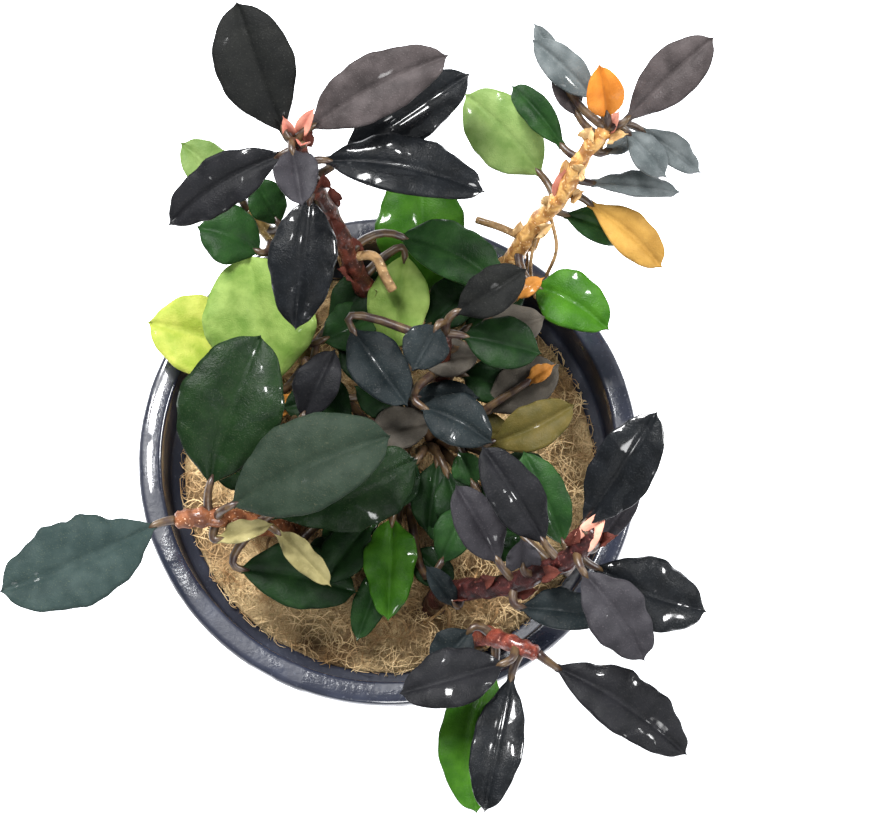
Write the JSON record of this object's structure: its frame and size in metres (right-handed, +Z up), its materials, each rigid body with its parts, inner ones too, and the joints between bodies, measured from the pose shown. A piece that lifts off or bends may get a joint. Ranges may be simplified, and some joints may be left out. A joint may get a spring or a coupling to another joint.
{
  "type": "potted bucephalandra",
  "caption": "Dark-leaved bucephalandra plant rooted in a rock wool plug in a small black slotted net pot, as sold for aquariums.",
  "frame": {"origin": "middle of the pot's flat underside, on the surface that it stands on", "axes": "+Z up out of the pot; +X to the right and +Y away from the viewer in the picture"},
  "size_m": [0.0762, 0.0834, 0.0828],
  "materials": {
    "black_plastic": "satin moulded, wet in places",
    "rock_wool": "damp fibrous wool",
    "brown_stem": "smooth moist bark",
    "tan_stem": "dry papery sheaths",
    "wine_stem": "wet glossy",
    "black_leaf": "waxy, wet in places",
    "slate_leaf": "waxy satin",
    "deep_green_leaf": "waxy, wet in places",
    "green_leaf": "waxy, wet",
    "lime_leaf": "waxy satin",
    "orange_leaf": "thin, satin"
  },
  "bodies": {
    "root": {"broad_leaf_1": "slate_leaf", "broad_leaf_2": "deep_green_leaf", "broad_leaf_3": "slate_leaf", "broad_leaf_4": "deep_green_leaf", "broad_leaf_5": "deep_green_leaf", "broad_stem": "tan_stem", "centre_leaf_1": "black_leaf", "centre_leaf_2": "slate_leaf", "centre_leaf_3": "slate_leaf", "centre_leaf_4": "slate_leaf", "centre_leaf_5": "slate_leaf", "centre_leaf_6": "orange_leaf", "centre_leaf_7": "slate_leaf", "centre_stem": "brown_stem", "dark_leaf_1": "black_leaf", "dark_leaf_10": "lime_leaf", "dark_leaf_2": "black_leaf", "dark_leaf_3": "black_leaf", "dark_leaf_4": "black_leaf", "dark_leaf_5": "black_leaf", "dark_leaf_6": "slate_leaf", "dark_leaf_7": "black_leaf", "dark_leaf_8": "deep_green_leaf", "dark_leaf_9": "green_leaf", "dark_stem": "brown_stem", "front_leaf_1": "black_leaf", "front_leaf_2": "black_leaf", "front_leaf_3": "black_leaf", "front_leaf_4": "green_leaf", "front_leaf_5": "slate_leaf", "front_stem": "wine_stem", "green_leaf_1": "lime_leaf", "green_leaf_2": "deep_green_leaf", "green_leaf_3": "lime_leaf", "green_leaf_4": "lime_leaf", "green_leaf_5": "green_leaf", "green_leaf_6": "black_leaf", "green_stem": "tan_stem", "low_leaf_1": "green_leaf", "low_stem": "tan_stem", "net_pot": "black_plastic", "rock_wool": "rock_wool", "tan_leaf_1": "green_leaf", "tan_leaf_2": "deep_green_leaf", "tan_leaf_3": "slate_leaf", "tan_leaf_4": "orange_leaf", "tan_leaf_5": "black_leaf", "tan_leaf_6": "slate_leaf", "tan_leaf_7": "slate_leaf", "tan_leaf_8": "orange_leaf", "tan_leaf_9": "green_leaf", "tan_stem": "tan_stem", "wine_leaf_1": "black_leaf", "wine_leaf_2": "black_leaf", "wine_leaf_3": "black_leaf", "wine_leaf_4": "black_leaf", "wine_leaf_5": "slate_leaf", "wine_leaf_6": "slate_leaf", "wine_stem": "wine_stem"}
  },
  "joints": []
}
